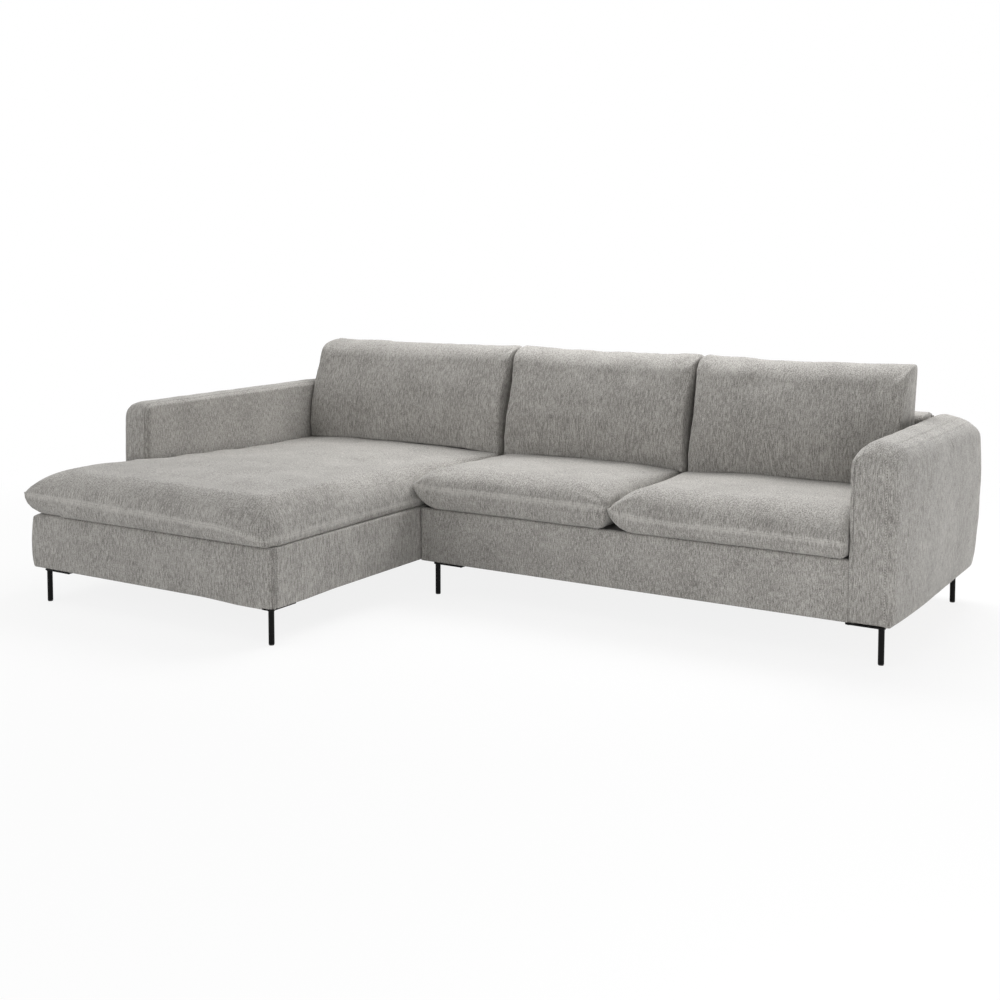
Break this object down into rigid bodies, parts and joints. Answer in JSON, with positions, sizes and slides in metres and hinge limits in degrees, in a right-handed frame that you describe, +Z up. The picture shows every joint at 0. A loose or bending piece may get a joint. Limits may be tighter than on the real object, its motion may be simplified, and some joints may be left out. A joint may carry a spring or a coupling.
{
  "type": "corner sofa",
  "caption": "Upholstered corner sofa: a long chaise module linked to a seat module, with slab arms, loose pillow cushions and slim tube legs.",
  "frame": {"origin": "on the floor, under the middle of the sofa's outline seen from above", "axes": "+Z up, +Y towards the back of the sofa, +X to the right of someone who looks at its front; the chaise is on the -X side"},
  "size_m": [2.9734, 1.8346, 0.874],
  "materials": {
    "fabric_grey": "warm grey chenille weave with slubs",
    "frame_wood": "sawn softwood and board",
    "webbing_black": "woven elastic straps",
    "deck_cloth_grey": "dark lining cloth over a thin pad",
    "lining_black": "black non-woven lining",
    "foam_white": "foam and fibre filling",
    "leg_black": "satin black powder coat",
    "glide_black": "black moulded plastic",
    "link_zinc": "zinc-plated steel"
  },
  "bodies": {
    "chaise_module": {"chaise_frame_front_rail": "frame_wood", "chaise_frame_rear_rail": "frame_wood", "chaise_frame_right_rail": "frame_wood", "chaise_frame_step_rail": "frame_wood", "chaise_frame_left_front_rail": "frame_wood", "chaise_frame_left_rail": "frame_wood", "chaise_webbing": "webbing_black", "chaise_deck_pad": "deck_cloth_grey", "chaise_dust_cover": "lining_black", "chaise_front_border": "fabric_grey", "chaise_left_border": "fabric_grey", "chaise_right_border": "fabric_grey", "left_arm_cover": "fabric_grey", "left_arm_frame": "frame_wood", "chaise_back_cover": "fabric_grey", "chaise_back_frame": "frame_wood", "chaise_front_left_leg": "leg_black", "chaise_front_right_leg": "leg_black", "chaise_rear_left_leg": "leg_black", "chaise_rear_right_leg": "leg_black", "chaise_front_left_glide": "glide_black", "chaise_front_right_glide": "glide_black", "chaise_rear_left_glide": "glide_black", "chaise_rear_right_glide": "glide_black", "front_link_socket": "link_zinc", "rear_link_socket": "link_zinc"},
    "seater_module": {"seater_frame_front_rail": "frame_wood", "seater_frame_rear_rail": "frame_wood", "seater_frame_left_rail": "frame_wood", "seater_frame_right_rail": "frame_wood", "seater_webbing": "webbing_black", "seater_deck_pad": "deck_cloth_grey", "seater_dust_cover": "lining_black", "seater_front_border": "fabric_grey", "right_arm_cover": "fabric_grey", "right_arm_frame": "frame_wood", "seater_back_cover": "fabric_grey", "seater_back_frame": "frame_wood", "seater_front_left_leg": "leg_black", "seater_front_right_leg": "leg_black", "seater_rear_left_leg": "leg_black", "seater_rear_right_leg": "leg_black", "seater_front_left_glide": "glide_black", "seater_front_right_glide": "glide_black", "seater_rear_left_glide": "glide_black", "seater_rear_right_glide": "glide_black", "front_link_pin": "link_zinc", "rear_link_pin": "link_zinc"},
    "chaise_seat_cushion": {"chaise_seat_cushion_cover": "fabric_grey", "chaise_seat_cushion_core": "foam_white"},
    "left_seat_cushion": {"left_seat_cushion_cover": "fabric_grey", "left_seat_cushion_core": "foam_white"},
    "right_seat_cushion": {"right_seat_cushion_cover": "fabric_grey", "right_seat_cushion_core": "foam_white"},
    "chaise_back_cushion": {"chaise_back_cushion_cover": "fabric_grey", "chaise_back_cushion_core": "foam_white"},
    "left_back_cushion": {"left_back_cushion_cover": "fabric_grey", "left_back_cushion_core": "foam_white"},
    "right_back_cushion": {"right_back_cushion_cover": "fabric_grey", "right_back_cushion_core": "foam_white"}
  },
  "joints": [
    {"name": "seater_module_lift", "type": "slide", "parent": "chaise_module", "child": "seater_module", "axis": [0, 0, 1], "range_m": [0, 0.04]},
    {"name": "chaise_seat_cushion_pull", "type": "slide", "parent": "chaise_module", "child": "chaise_seat_cushion", "axis": [0, -1, 0], "range_m": [0, 0.3]},
    {"name": "left_seat_cushion_pull", "type": "slide", "parent": "seater_module", "child": "left_seat_cushion", "axis": [0, -1, 0], "range_m": [0, 0.3]},
    {"name": "right_seat_cushion_pull", "type": "slide", "parent": "seater_module", "child": "right_seat_cushion", "axis": [0, -1, 0], "range_m": [0, 0.3]},
    {"name": "chaise_back_cushion_lift", "type": "slide", "parent": "chaise_module", "child": "chaise_back_cushion", "axis": [0, 0, 1], "range_m": [0, 0.28]},
    {"name": "left_back_cushion_lift", "type": "slide", "parent": "seater_module", "child": "left_back_cushion", "axis": [0, 0, 1], "range_m": [0, 0.28]},
    {"name": "right_back_cushion_lift", "type": "slide", "parent": "seater_module", "child": "right_back_cushion", "axis": [0, 0, 1], "range_m": [0, 0.28]}
  ]
}
